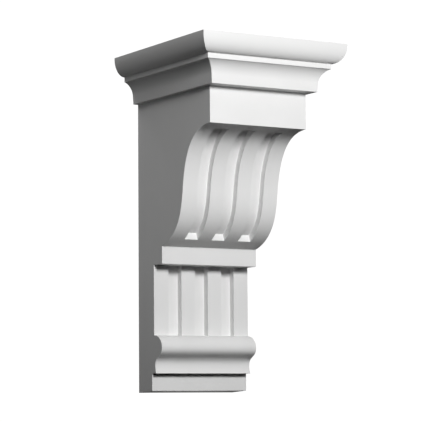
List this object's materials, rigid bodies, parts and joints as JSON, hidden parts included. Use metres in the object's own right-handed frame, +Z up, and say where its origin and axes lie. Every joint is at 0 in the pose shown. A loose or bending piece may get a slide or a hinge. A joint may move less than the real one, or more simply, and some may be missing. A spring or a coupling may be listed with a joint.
{
  "type": "corbel",
  "caption": "White moulded corbel with a fluted S-shaped front, a fluted lower panel on a beaded foot, and a moulded crown with mitred returns.",
  "frame": {"origin": "middle of the flat back, the face that is fixed to the wall", "axes": "+Z up, along the height; +Y into the wall, so the carved front looks towards -Y; +X across the front, from left to right as seen from the front"},
  "size_m": [0.1938, 0.2115, 0.401],
  "materials": {
    "primed_moulding": "smooth white primer, satin-matt"
  },
  "bodies": {
    "root": {"corbel": "primed_moulding"}
  },
  "joints": []
}
